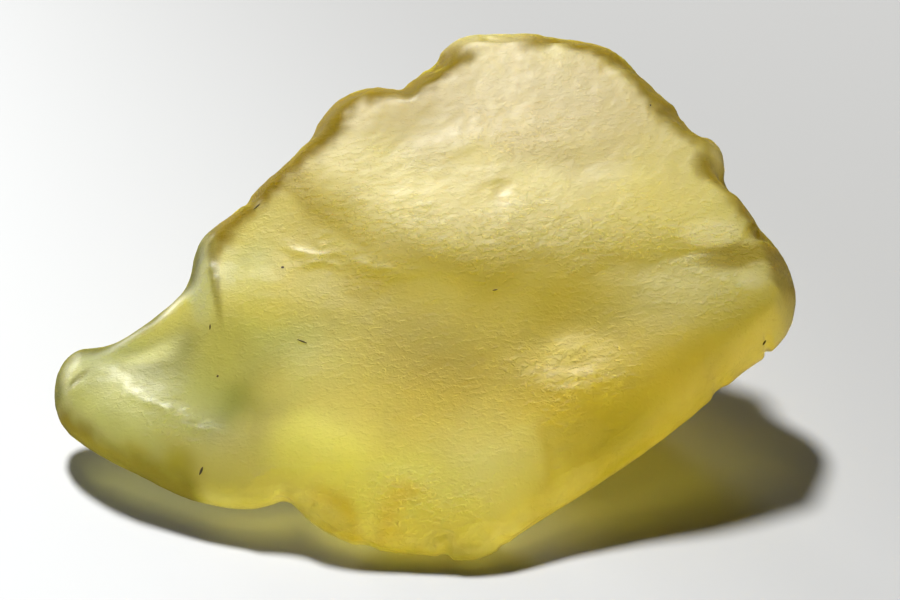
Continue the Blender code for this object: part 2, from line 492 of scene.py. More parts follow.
@dataclass(frozen=True)
class FrostedGlass:
    """Yellow silica glass with a wind-frosted surface.

    Its colour, with painted shade, highlights and glow, its wrinkles and its dull edges come from
    the chip's attributes.
    """

    name: str = "frosted_desert_glass"
    ior: float = 1.46
    gloss_tint: Paint = (1.0, 0.93, 0.6, 1.0)
    clear: float = 0.8  # share of light that goes straight in
    cloud: float = 1.0
    cloud_reach: Triple = (10.0, 8.0, 2.0)  # mm
    shine: float = 0.5
    shine_roughness: float = 0.43
    shine_ior: float = 1.6
    edge_dulling: float = 1.0  # how much of the shine the edges lose
    edge_roughness: float = 0.42  # how much rougher they are
    roughness: float = 0.58
    roughness_spread: float = 0.16
    absorbed: Paint = (0.99, 0.92, 0.25, 1.0)
    density: float = 100.0  # per metre
    peel_size: float = 0.33  # mm
    peel_detail: float = 3.0
    peel_twist: float = 0.5
    peel_draw: Triple = (0.65, 1.1, 1.1)  # the wrinkles run across the face
    peel_depth: float = 0.115
    peel_lumps: float = 1.1  # share of the soft lumps in it
    peel_grooves: float = 0.8  # share of the grooves
    peel_least: float = 0.15
    peel_most: float = 3.8
    groove_softness: float = 0.0003
    frost_size: float = 0.17
    frost_depth: float = 0.022
    cloud_scale: float = 0.32  # per mm
    streak_draw: Triple = (1.6, 0.4, 0.4)
    mottle_detail: float = 4.0
    mottle_clouds: float = 0.6  # share of clouds, and the rest is streaks
    mottle_low: float = 0.88
    mottle_high: float = 1.10

    def material(self) -> bpy.types.Material:
        """Builds the glass.

        Returns:
            The material.
        """
        made = bpy.data.materials.new(self.name)
        nodes = shader_nodes(made)
        place = nodes.add("ShaderNodeTexCoord", {}, {})["Object"]
        mm = nodes.add("ShaderNodeMapping", {}, {"Vector": place, "Scale": (1 / MM,) * 3})[0]
        streaked = nodes.add("ShaderNodeMapping", {}, {"Vector": mm, "Scale": self.streak_draw})[0]
        drawn = nodes.add("ShaderNodeMapping", {}, {"Vector": mm, "Scale": self.peel_draw})[0]
        layers = (
            (mm, self.cloud_scale, self.mottle_detail, 0.0),
            (streaked, 1.0, self.mottle_detail, 0.0),
            (drawn, 1 / self.peel_size, self.peel_detail, self.peel_twist),
            (mm, 1 / self.frost_size, 1.0, 0.0),
        )
        clouds, streaks, peel, frost = (
            nodes.add(
                "ShaderNodeTexNoise",
                {},
                {"Vector": spot, "Scale": scale, "Detail": detail, "Distortion": twist},
            )[0]
            for spot, scale, detail, twist in layers
        )
        away = peel - 0.5
        grooves = (away * away + self.groove_softness) ** 0.5  # where the noise is halfway
        wrinkled = nodes.add("ShaderNodeAttribute", {"attribute_name": CRINKLE}, {})["Fac"]
        skin = (peel * self.peel_lumps + grooves * self.peel_grooves) * self.peel_depth
        height = skin * (self.peel_least + self.peel_most * wrinkled) + frost * self.frost_depth
        bump = nodes.add("ShaderNodeBump", {}, {"Height": height, "Distance": MM, "Strength": 1.0})
        # this colour carries painted shade, highlights and glow besides the glass's own tone
        own = nodes.add("ShaderNodeAttribute", {"attribute_name": TONE}, {})["Color"]
        edge = nodes.add("ShaderNodeAttribute", {"attribute_name": EDGE}, {})["Fac"]
        mixed = clouds * self.mottle_clouds + streaks * (1.0 - self.mottle_clouds)
        mottle = self.mottle_low + (self.mottle_high - self.mottle_low) * mixed
        grey = nodes.add("ShaderNodeCombineColor", {}, dict.fromkeys(range(3), mottle))[0]
        colour = nodes.add(
            "ShaderNodeMix",
            {"data_type": "RGBA", "blend_type": "MULTIPLY"},
            {"Factor": 1.0, "A": own, "B": grey},
        )["Result"]
        uneven = self.roughness + (clouds - 0.5) * self.roughness_spread
        glass = nodes.add(
            "ShaderNodeBsdfPrincipled",
            {},
            {
                "Base Color": colour,
                "Roughness": uneven + edge * self.edge_roughness,
                "IOR": self.ior,
                "Specular Tint": self.gloss_tint,
                "Transmission Weight": self.clear,
                "Subsurface Weight": self.cloud,
                "Subsurface Radius": self.cloud_reach,
                "Subsurface Scale": MM,
                "Coat Weight": self.shine * (1.0 - self.edge_dulling * edge),
                "Coat Roughness": self.shine_roughness,
                "Coat IOR": self.shine_ior,
                "Normal": bump[0],
            },
        )
        inside = nodes.add(
            "ShaderNodeVolumeAbsorption", {}, {"Color": self.absorbed, "Density": self.density}
        )
        nodes.add("ShaderNodeOutputMaterial", {}, {"Surface": glass[0], "Volume": inside[0]})
        return made


@dataclass(frozen=True)
class DarkGrit:
    """Matt dark brown of dust, lint and sealed specks, lighter at random."""

    name: str = "dark_grit"
    dark: Paint = (0.030, 0.022, 0.010, 1.0)
    light: Paint = (0.12, 0.09, 0.045, 1.0)
    roughness: float = 0.85
    patches: float = 900.0  # per metre

    def material(self) -> bpy.types.Material:
        """Builds the grit.

        Returns:
            The material.
        """
        made = bpy.data.materials.new(self.name)
        nodes = shader_nodes(made)
        place = nodes.add("ShaderNodeTexCoord", {}, {})["Object"]
        shade = nodes.add("ShaderNodeTexNoise", {}, {"Vector": place, "Scale": self.patches})[0]
        mix = {"Factor": shade, "A": self.dark, "B": self.light}
        colour = nodes.add("ShaderNodeMix", {"data_type": "RGBA"}, mix)["Result"]
        skin = {"Base Color": colour, "Roughness": self.roughness}
        grit = nodes.add("ShaderNodeBsdfPrincipled", {}, skin)
        nodes.add("ShaderNodeOutputMaterial", {}, {"Surface": grit[0]})
        return made


@dataclass(frozen=True)
class PalePaper:
    """Matt white paper under the chip, painted darker towards the back right as shade where the
    light falls off.
    """

    name: str = "pale_paper"
    lit_colour: Paint = (0.445, 0.45, 0.45, 1.0)
    falloff_shade_colour: Paint = (0.265, 0.265, 0.26, 1.0)
    falloff_towards: Range = (0.85, 0.52)  # from the lit colour to the painted falloff shade
    falloff_length: float = 0.09
    roughness: float = 0.9
    gloss: float = 0.2

    def material(self) -> bpy.types.Material:
        """Builds the paper.

        Returns:
            The material.
        """
        made = bpy.data.materials.new(self.name)
        nodes = shader_nodes(made)
        place = nodes.add("ShaderNodeTexCoord", {}, {})["Object"]
        split = nodes.add("ShaderNodeSeparateXYZ", {}, {"Vector": place})
        along = split["X"] * self.falloff_towards[0] + split["Y"] * self.falloff_towards[1]
        faded = nodes.add(
            "ShaderNodeMapRange",
            {"interpolation_type": "SMOOTHSTEP"},
            {"Value": along, "From Min": -self.falloff_length / 2, "From Max": self.falloff_length / 2},
        )["Result"]
        mix = {"Factor": faded, "A": self.lit_colour, "B": self.falloff_shade_colour}
        colour = nodes.add("ShaderNodeMix", {"data_type": "RGBA"}, mix)["Result"]
        skin = {"Base Color": colour, "Roughness": self.roughness, "Specular IOR Level": self.gloss}
        paper = nodes.add("ShaderNodeBsdfPrincipled", {}, skin)
        nodes.add("ShaderNodeOutputMaterial", {}, {"Surface": paper[0]})
        return made


@dataclass(frozen=True)
class WindGrain:
    """The uneven skin that wind and sand leave: waves, peel, and crinkles along the crest."""

    layers: tuple[str, str, str] = ("Wave", "Peel", "Crinkle")
    sizes: Triple = (4.5, 1.0, 0.48)  # of these, mm
    heights: Triple = (0.10, 0.06, 0.12)
    crinkle_draw: Triple = (0.55, 1.5, 1.0)  # drawn out along the face
    detail: float = 2.0
    twist: float = 0.5  # how much more each finer layer winds
    seed: int = 7
    seed_step: float = 10.0  # from each layer to the next

    def tree(self) -> bpy.types.NodeTree:
        """Builds the displacement.

        Returns:
            The Geometry Nodes tree.
        """
        labels = [f"{layer} {size}" for layer in self.layers for size in ("Size", "Height")]
        inputs = dict.fromkeys([*labels, "Seed"], "NodeSocketFloat")
        inputs["Glass"] = "NodeSocketMaterial"
        tree, nodes, given = new_geometry_tree("wind_grain", inputs)
        place = nodes.add("GeometryNodeInputPosition", {}, {})[0]
        scale = {"operation": "SCALE"}
        mm = nodes.add("ShaderNodeVectorMath", scale, {"Vector": place, "Scale": 1 / MM})[0]
        face = nodes.add(
            "ShaderNodeVectorRotate",
            {"rotation_type": "X_AXIS"},
            {"Vector": mm, "Angle": -math.radians(FACE.lean)},
        )[0]
        drawn = nodes.add(
            "ShaderNodeVectorMath", {"operation": "MULTIPLY"}, {0: face, 1: self.crinkle_draw}
        )[0]
        height = 0.0
        for step, (layer, spot) in enumerate(zip(self.layers, (face, face, drawn))):
            bumps = nodes.add(
                "ShaderNodeTexNoise",
                {"noise_dimensions": "4D"},
                {
                    "Vector": spot,
                    "W": given["Seed"] + self.seed_step * step,
                    "Scale": 1.0 / given[f"{layer} Size"],
                    "Detail": self.detail,
                    "Distortion": self.twist * step,
                },
            )[0]
            lift = (bumps - 0.5) * given[f"{layer} Height"]
            if spot is drawn:
                lift = lift * nodes.add("GeometryNodeInputNamedAttribute", {}, {"Name": CRINKLE})[0]
            height = lift + height
        normal = nodes.add("GeometryNodeInputNormal", {}, {})[0]
        shift = nodes.add("ShaderNodeVectorMath", scale, {"Vector": normal, "Scale": height * MM})
        moved = nodes.add("GeometryNodeSetPosition", {}, {"Geometry": given[0], "Offset": shift[0]})
        end_geometry_tree(nodes, moved[0], given["Glass"])
        return tree

    def wear(self, chip: bpy.types.Object, glass: bpy.types.Material) -> None:
        """Wears the skin into a chip and gives it its glass.

        Args:
            chip: the chip, with its crinkle attribute.
            glass: its material.
        """
        values = {"Seed": float(self.seed), "Glass": glass}
        for layer, size, height in zip(self.layers, self.sizes, self.heights):
            values |= {f"{layer} Size": size, f"{layer} Height": height}
        run_tree(chip, self.tree(), values)


SWELL, SCAR, RING, CREASE = Kind
MARKS = (
    Mark(RING, 3.7, 27.0, 1.0, 0.85, 0.022),  # small ring high on the face
    Mark(RING, -9.2, 22.9, 0.6, 0.5, 0.04),
    Mark(SWELL, 0.5, 31.0, 3.6, 1.6, 0.10, 12.0),  # faint mounds of the upper face
    Mark(SWELL, 9.6, 29.0, 3.0, 1.3, -0.10, -8.0),
    Mark(SWELL, 14.0, 27.6, 2.6, 1.2, 0.08, -20.0),
    # wrinkles under the left of the crest
    Mark(CREASE, -10.2, 21.7, 1.6, 0.30, 0.16, -12.0, 0.10),
    Mark(CREASE, -9.4, 21.0, 1.2, 0.28, 0.14, -5.0, -0.10),
    Mark(CREASE, -5.6, 20.5, 2.2, 0.30, 0.14, -16.0, 0.05),
    Mark(CREASE, -4.2, 19.7, 1.4, 0.28, 0.12, -4.0, 0.08),
    Mark(CREASE, 8.4, 11.1, 2.8, 0.50, 0.13, 4.0, 0.07),  # rippled lip of the dimple
    Mark(CREASE, 9.4, 12.1, 1.8, 0.45, 0.10, 10.0, 0.10),
    Mark(CREASE, 6.6, 12.0, 1.3, 0.45, 0.09, -14.0, 0.12),
    Mark(SWELL, 8.6, 14.3, 1.4, 1.2, 0.22),  # knob in the dimple
    # low bulges that catch the light above the lower edge
    Mark(SWELL, -8.7, 5.4, 3.4, 2.6, 0.32, -12.0),
    Mark(SWELL, 4.4, 1.8, 3.4, 2.2, 0.22, 8.0),
    Mark(CREASE, 17.6, 21.6, 2.6, 0.35, -0.16, 9.0, -0.05),  # groove below the right shoulder
    Mark(CREASE, 20.6, 18.9, 3.0, 0.40, 0.14, -18.0),
    Mark(CREASE, 23.2, 15.3, 1.3, 0.22, -0.35, 20.0),  # short crack in the right-hand edge
    Mark(CREASE, -17.4, 20.6, 3.2, 0.30, 0.15, -74.0),  # fold down from the left shoulder
    Mark(SWELL, -18.9, 20.6, 2.6, 0.7, -0.30, -80.0),
    Mark(CREASE, -27.1, 13.8, 1.1, 0.45, -0.22, 42.0, 0.12),  # crease behind the knuckle
    Mark(CREASE, -24.4, 13.0, 3.0, 0.9, 0.08, -38.0, 0.02),  # sharp ridge down the arm
    Mark(CREASE, -21.2, 11.7, 1.8, 0.80, 0.04, -8.0),
    Mark(CREASE, -20.6, 10.7, 1.6, 0.28, 0.18, -14.0, 0.06),  # wrinkles across the hollow
    Mark(CREASE, -19.3, 10.0, 1.8, 0.26, 0.18, -10.0, -0.05),
    Mark(CREASE, -18.4, 9.2, 1.4, 0.26, 0.14, -16.0, 0.05),
    Mark(SCAR, -9.6, 2.9, 1.9, 1.2, -0.45, -38.0),  # scars along the lower edge
    Mark(SCAR, -0.8, 0.6, 1.1, 0.9, -0.50, 10.0),
    Mark(SCAR, 2.6, 0.9, 2.0, 1.0, -0.40, 8.0),
    Mark(SCAR, -4.6, 1.4, 1.7, 0.9, -0.28, -6.0),
    Mark(SCAR, 8.4, 4.6, 2.2, 0.9, -0.25, 36.0),
    Mark(CREASE, -13.4, 5.4, 2.2, 0.26, 0.14, 28.0, -0.16),  # shell-shaped line
    Mark(CREASE, -11.0, 4.2, 2.0, 0.24, 0.12, 8.0),
    Mark(SCAR, 3.6, 41.6, 2.9, 0.9, -0.35, -1.0),  # scars along the top edge
    Mark(SCAR, 8.6, 41.4, 2.4, 0.8, -0.30, -8.0),
    Mark(SCAR, -1.6, 39.0, 1.6, 1.1, -0.35, 45.0),
    Mark(SCAR, 13.6, 39.4, 1.9, 1.0, -0.30, -48.0),
    Mark(SCAR, 15.9, 36.2, 1.4, 0.9, -0.30, -50.0),
    Mark(SCAR, 18.6, 33.0, 2.0, 1.1, -0.35, -25.0),
    Mark(SCAR, 21.4, 28.6, 2.2, 1.1, -0.35, -68.0),
    Mark(SCAR, 23.6, 24.4, 1.8, 1.0, -0.35, -55.0),
    Mark(SCAR, -7.2, 36.6, 2.2, 1.0, -0.30, 45.0),
    Mark(SCAR, -12.0, 31.2, 2.4, 0.9, -0.30, 50.0),
    Mark(SCAR, -15.8, 27.2, 1.8, 0.9, -0.25, 42.0),
)

NOTCHES = (  # small bites out of the outline; each one's height is how deep it goes
    Mark(SCAR, 12.6, 38.8, 1.0, 1.6, 0.50, -50.0),  # down the upper right edge
    Mark(SCAR, 16.3, 34.2, 1.3, 1.6, 0.60, -60.0),
    Mark(SCAR, 20.4, 28.6, 1.9, 1.6, 0.45, -75.0),
    Mark(SCAR, 22.6, 23.6, 0.8, 1.6, 0.70, -60.0),
    Mark(SCAR, 7.3, 41.0, 0.9, 1.4, 0.20, -5.0),  # along the top
    Mark(SCAR, -0.9, 39.4, 1.1, 1.5, 0.26, 50.0),
    Mark(SCAR, -3.4, 36.4, 0.9, 1.5, 0.32, 20.0),
    Mark(SCAR, -10.3, 32.9, 1.2, 1.5, 0.22, 55.0),
    Mark(SCAR, -14.6, 27.0, 0.9, 1.6, 0.38, 50.0),
    Mark(SCAR, 23.6, 15.2, 0.5, 1.4, 0.35, 45.0),  # crack in the right-hand end
    Mark(SCAR, 19.5, 12.6, 0.9, 1.4, 0.22, 40.0),
    Mark(SCAR, -11.9, 3.5, 0.9, 1.4, 0.26, 0.0),  # along the lower edge
    Mark(SCAR, -5.9, 0.9, 0.9, 1.3, 0.20, -15.0),
    Mark(SCAR, -0.4, 0.0, 0.6, 1.2, 0.30, 0.0),
    Mark(SCAR, 4.0, 0.2, 0.7, 1.2, 0.20, 15.0),
)

# The line of the crest, left to right, where the skin is most wrinkled.
CREST_X = (-13.0, -8.9, -5.4, -2.0, 2.2, 8.0, 13.0, 18.0)
CREST_Y = (28.6, 25.6, 23.6, 22.4, 21.8, 22.3, 22.6, 22.0)
CRINKLE_PATCHES = (  # other wrinkled places
    Patch(8.6, 12.0, 3.6, 2.2, 0.0, 0.9),
    Patch(-7.0, 20.4, 4.0, 1.3, -12.0, 0.9),
    Patch(-19.4, 10.0, 2.6, 1.4, -12.0, 0.8),
    Patch(19.0, 18.5, 4.0, 2.6, -12.0, 0.5),
    Patch(-3.6, 3.0, 5.4, 2.0, 0.0, 0.9),
    Patch(5.0, 31.5, 6.5, 3.4, 0.0, 0.35),
    Patch(-6.0, 29.5, 5.0, 2.4, 20.0, 0.4),
)

PLAIN = (0.70, 0.64, 0.15)
BACK_PLAIN = (0.70, 0.60, 0.13)
# Rim colours: darker amber painted as shade along the rims, and a brighter line painted as a glint
# on the very edge.
RIM_SHADE = (0.21, 0.145, 0.0)
LOW_RIM_SHADE = (0.46, 0.40, 0.03)
ARM_RIM_SHADE = (0.10, 0.11, 0.01)
ARM_LOW_RIM_SHADE = (0.15, 0.12, 0.01)
EDGE_GLINT = (0.80, 0.68, 0.16)
# The glass's colour patches; painted shade, highlights and glow among them are marked below.
TONES_AND_PAINTED_LIGHT = {
    Patch(5.0, 35.0, 16.0, 7.6, 0.0, 1.0, 3.0): (0.45, 0.35, 0.11),  # warmer upper face
    Patch(3.0, 26.2, 10.0, 2.4, -4.0): (0.74, 0.65, 0.18),  # painted highlight just above the crest
    # darker amber band under the crest, left to right: painted shade where the face turns away from
    # the light
    Patch(-9.5, 26.0, 5.5, 2.6, -40.0): (0.46, 0.37, 0.04),
    Patch(0.0, 20.2, 12.0, 2.0, -4.0): (0.52, 0.44, 0.025),  # painted shade of the band below the crest
    Patch(10.0, 19.4, 8.0, 2.0, 6.0): (0.66, 0.58, 0.07),
    Patch(-15.0, 21.0, 3.4, 2.6): (0.48, 0.50, 0.14),
    Patch(-13.5, 15.6, 5.4, 3.0, -10.0): (0.50, 0.56, 0.19),
    Patch(-16.2, 11.7, 4.2, 3.2, -20.0, 1.0, 2.3): (0.15, 0.17, 0.015),  # grey-green painted shade in the hollow
    Patch(-24.0, 12.8, 7.4, 6.4, -27.0, 1.0, 4.0): (0.29, 0.34, 0.14),  # green arm
    # pale painted sheen on the arm's ridge, upper side and knuckle, with a darker band of painted
    # shade between
    Patch(-24.4, 11.2, 3.2, 1.6, -30.0, 0.85): (0.60, 0.66, 0.38),
    Patch(-20.3, 14.2, 3.4, 1.3, 48.0, 0.9): (0.16, 0.18, 0.05),
    Patch(-22.0, 14.9, 2.0, 1.3, 18.0, 0.9, 3.0): (0.66, 0.72, 0.42),
    Patch(-27.9, 14.4, 0.9, 1.4, 10.0, 0.8, 6.0): (0.60, 0.64, 0.42),
    Patch(-27.2, 13.7, 1.1, 0.35, 42.0, 0.85, 6.0): (0.14, 0.15, 0.03),  # painted shade in the crease behind the knuckle
    Patch(-20.0, 6.6, 2.8, 2.4, -25.0, 1.0, 4.0): (0.34, 0.30, 0.01),  # darker amber corner: painted shade where the glass lies over its own shadow
    # bright lower part: painted glow of light shining through the glass
    Patch(-3.6, 4.0, 8.6, 3.6, -8.0, 0.9, 3.0): (1.0, 0.98, 0.26),  # painted glow along the lower edge
    Patch(5.0, 5.0, 4.6, 4.8, 30.0, 1.0, 3.0): (1.0, 0.99, 0.42),
    Patch(-9.0, 7.2, 3.4, 2.8, -16.0, 1.0, 3.0): (1.0, 1.0, 0.22),  # brightest spot of the painted glow
    Patch(-7.6, 2.4, 1.9, 0.9, -34.0, 0.9): (0.66, 0.50, 0.02),  # amber mottles by the lower edge
    Patch(-3.6, 2.8, 1.8, 0.9, 10.0, 0.7): (0.80, 0.60, 0.05),
    # grey spot in the scar at the lower edge: painted shade
    Patch(-0.9, 1.0, 0.8, 0.4, 20.0, 0.5, 6.0): (0.40, 0.40, 0.05),
    # darker patches on the lower right: painted shade of the keel's shadow seen through the glass
    Patch(7.6, 7.0, 3.4, 0.9, 78.0, 0.7): (0.60, 0.54, 0.06),
    Patch(12.0, 8.6, 4.6, 3.0, 38.0): (0.52, 0.50, 0.05),
    Patch(19.0, 17.4, 6.0, 4.4, 10.0): (0.57, 0.54, 0.13),
    # dark valley between the right shoulder's lobes: painted shade
    Patch(20.8, 21.4, 3.0, 1.3, 4.0, 0.9, 6.0): (0.34, 0.27, 0.02),
    # pale lobes at the right shoulder: painted highlights
    Patch(18.9, 23.2, 2.2, 1.2, 8.0, 0.9, 6.0): (0.86, 0.80, 0.42),
    Patch(22.2, 19.8, 1.7, 1.1, 25.0, 0.8, 6.0): (0.80, 0.76, 0.36),
    # thin flap down from the left shoulder
    Patch(-18.4, 20.4, 3.8, 1.1, -80.0, 0.95, 6.0): (0.50, 0.55, 0.34),
    # dark line along the fold: painted shade in the crease
    Patch(-17.2, 20.3, 3.6, 0.38, -80.0, 0.8, 6.0): (0.16, 0.15, 0.01),
}
BACK_TONES = {
    Patch(-4.0, 9.0, 13.0, 7.0, 0.0, 1.0, 3.0): (1.0, 1.0, 0.75),  # lighter behind the lower edge, to feed the painted glow in front
    # darker behind the right-hand end, so the floor's shadow there comes out deeper
    Patch(20.0, 17.0, 9.0, 8.0, 0.0, 1.0, 3.0): (0.36, 0.30, 0.05),
}
BARE_RIM = (  # where the upper outline has no painted rim shade
    Patch(3.0, 41.4, 3.0, 1.8, -2.0, 0.85, 3.0),
    Patch(20.0, 30.6, 0.9, 1.2, 0.0, 0.7),
    Patch(25.0, 16.0, 2.6, 3.6, 0.0, 0.85),
)
DULL = (  # where the skin shines less
    Patch(-9.0, 25.4, 5.5, 2.2, -40.0, 0.7),
    Patch(-1.0, 19.6, 11.0, 2.6, -6.0, 0.7),
    Patch(-15.9, 11.3, 3.4, 2.8, -20.0, 0.9),
    Patch(-9.0, 7.0, 5.4, 4.0, -16.0, 0.6),
    Patch(-18.6, 20.0, 4.2, 1.8, -78.0, 0.95, 3.0),
    Patch(-22.4, 16.6, 4.6, 1.3, 24.0, 0.9, 3.0),
    Patch(-27.6, 16.0, 2.4, 1.4, 8.0, 0.8, 3.0),
    Patch(20.8, 21.4, 3.0, 1.2, 4.0, 0.9, 3.0),
    Patch(23.6, 21.0, 1.6, 3.6, 14.0, 0.7, 3.0),
    Patch(-4.0, 33.0, 5.0, 3.0, 30.0, 0.5),
    Patch(15.0, 26.0, 5.0, 8.0, 20.0, 0.2),
)


@dataclass(frozen=True)
class Grain:
    """One bit of dust on the face, or a speck just under it, in the face's frame and mm."""

    x: float
    y: float
    length: float
    width: float
    turn: float = 0.0  # degrees
    sunk: float = 0.0  # how far its middle lies under the skin


DUST = (
    Grain(-17.7, 6.0, 0.62, 0.16, 65.0),  # short brown rod by the lower left edge
    Grain(-10.6, 14.9, 0.80, 0.11, -24.0),  # lint below the arm's root
    Grain(-17.4, 16.6, 0.40, 0.10, 80.0),
    Grain(-14.3, 26.0, 0.70, 0.09, 52.0),
    Grain(3.2, 18.5, 0.36, 0.09, 10.0),
    Grain(22.7, 15.6, 0.60, 0.14, 15.0),  # dark crack filled with dust
)
SPECKS = (
    Grain(-12.2, 20.8, 0.28, 0.24, 0.0, 0.08),
    Grain(-16.8, 13.1, 0.26, 0.22, 30.0, 0.08),
    Grain(15.1, 34.6, 0.24, 0.20, 60.0, 0.08),
    Grain(10.9, 22.6, 0.20, 0.16, 0.0, 0.10),
    Grain(1.5, 8.5, 0.20, 0.16, 0.0, 0.10),
)


@dataclass(frozen=True)
class ShadedAmberRim:
    """The thin rims, where the glass has less frost, with darker amber painted along them as shade
    and a brighter line painted on the very edge as a glint.
    """

    face_width: float = 2.7  # along the upper outline, mm
    narrowing: float = 0.15  # how much narrower it is on the right
    narrowing_reach: Range = (0.0, 6.0)
    arm_width: float = 1.3
    low_width: float = 0.7
    arm_end: Range = (-18.6, -16.8)  # where the arm's rim turns into the face's
    upper_reach: Range = (-0.25, 0.25)  # a rim that faces higher is an upper one
    side_lift: float = 0.35  # how much a rim that faces sideways counts as an upper one
    raggedness: float = 0.75
    arm_evenness: float = 0.6
    scallop: float = 2.8  # mm
    fine_scallop: float = 0.3  # size of the finer scallops, as a share of that
    fine_share: float = 0.5
    blur: float = 0.7
    back_reach: Range = (-0.9, -0.3)  # facing back, where the rim fades out
    edge_glint: float = 0.4  # how much of the glint is painted on the very edge
    line_facing: float = 0.30
    low_share: float = 0.4

    def cover(self, skin: Skin, strayed: Skin, depth: Array, upper: Array, on_arm: Array) -> Array:
        """Finds where the rims lie.

        Args:
            skin: the chip's surface.
            strayed: the same, with a soft random shift.
            depth: how deep its points lie inside the outline.
            upper: how much they belong to an upper rim.
            on_arm: how much they belong to the arm.

        Returns:
            How much of the rim each point has.
        """
        narrower = self.narrowing * smooth_step(*self.narrowing_reach, strayed.points[:, 0])
        width = self.low_width + (self.face_width * (1.0 - narrower) - self.low_width) * upper
        width += (self.arm_width - width) * on_arm
        fine = soft_noise(skin.points, self.fine_scallop * self.scallop)
        uneven = soft_noise(skin.points, self.scallop) + self.fine_share * fine
        ragged = width + self.raggedness * (1.0 - self.arm_evenness * on_arm) * uneven
        cover = 1.0 - smooth_step(-self.blur, self.blur, depth - ragged)
        cover *= skin.facing(self.back_reach)
        for patch in BARE_RIM:
            cover *= 1.0 - patch.weight(skin)
        return cover

    def paint(self, tone: Array, skin: Skin, strayed: Skin) -> tuple[Array, Array]:
        """Lays the rims' painted shade and edge glint over the chip's colour.

        Args:
            tone: the colour at each point.
            skin: the chip's surface.
            strayed: the same, with a soft random shift.

        Returns:
            The colour with the rims' painted shade and glint, and how dull each point is.
        """
        depth, out = Outline().measure(skin)
        upper = smooth_step(*self.upper_reach, out[:, 1] + self.side_lift * np.abs(out[:, 0]))
        on_arm = 1.0 - smooth_step(*self.arm_end, skin.points[:, 0])
        cover = self.cover(skin, strayed, depth, upper, on_arm)
        line = smooth_step(self.line_facing, 0.0, np.abs(skin.normals[:, 2])) * (1.0 - on_arm)
        # painted shade along the rims, with a painted glint on the very edge
        amber = blended(RIM_SHADE, ARM_RIM_SHADE, on_arm)
        amber = blended(amber, EDGE_GLINT, self.edge_glint * line)
        low_share = self.low_share + (1.0 - self.low_share) * on_arm
        tone = blended(tone, amber, cover * upper)
        low_amber = blended(LOW_RIM_SHADE, ARM_LOW_RIM_SHADE, on_arm)
        tone = blended(tone, low_amber, cover * (1.0 - upper) * low_share)
        return tone, cover * np.maximum(upper, low_share)


